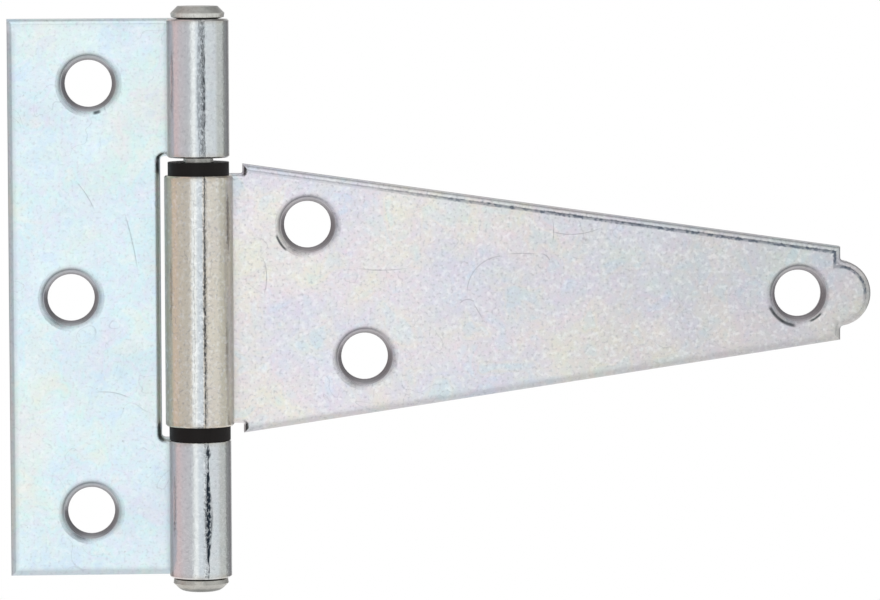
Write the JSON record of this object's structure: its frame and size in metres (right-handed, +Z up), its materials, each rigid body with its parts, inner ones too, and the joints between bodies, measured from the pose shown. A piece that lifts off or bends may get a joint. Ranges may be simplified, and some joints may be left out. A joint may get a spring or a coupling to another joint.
{
  "type": "t hinge",
  "caption": "Zinc-plated steel T hinge: a notched rectangular butt leaf and a long tapered strap, each rolled round one headed pin, with black washers between the knuckles.",
  "frame": {"origin": "on the butt leaf's back face, midway between the centres of its two outer screw holes", "axes": "+Z up along the hinge pin, +X towards the strap's nose, +Y out of the back into the post and gate"},
  "size_m": [0.1381, 0.0109, 0.0932],
  "materials": {
    "butt_zinc": "zinc plated, clear blue passivated",
    "strap_zinc": "zinc plated, passivated with faint mixed tints",
    "pin_zinc": "dull zinc plated",
    "nylon": "moulded black nylon"
  },
  "bodies": {
    "butt": {"butt_leaf": "butt_zinc", "hinge_pin": "pin_zinc", "lower_washer": "nylon"},
    "strap": {"strap_leaf": "strap_zinc", "upper_washer": "nylon"}
  },
  "joints": [
    {"name": "strap_swing", "type": "hinge", "parent": "butt", "child": "strap", "pos_m": [0.0173, -0.00545, 0], "axis": [0, 0, -1], "range_deg": [-94, 188]}
  ]
}
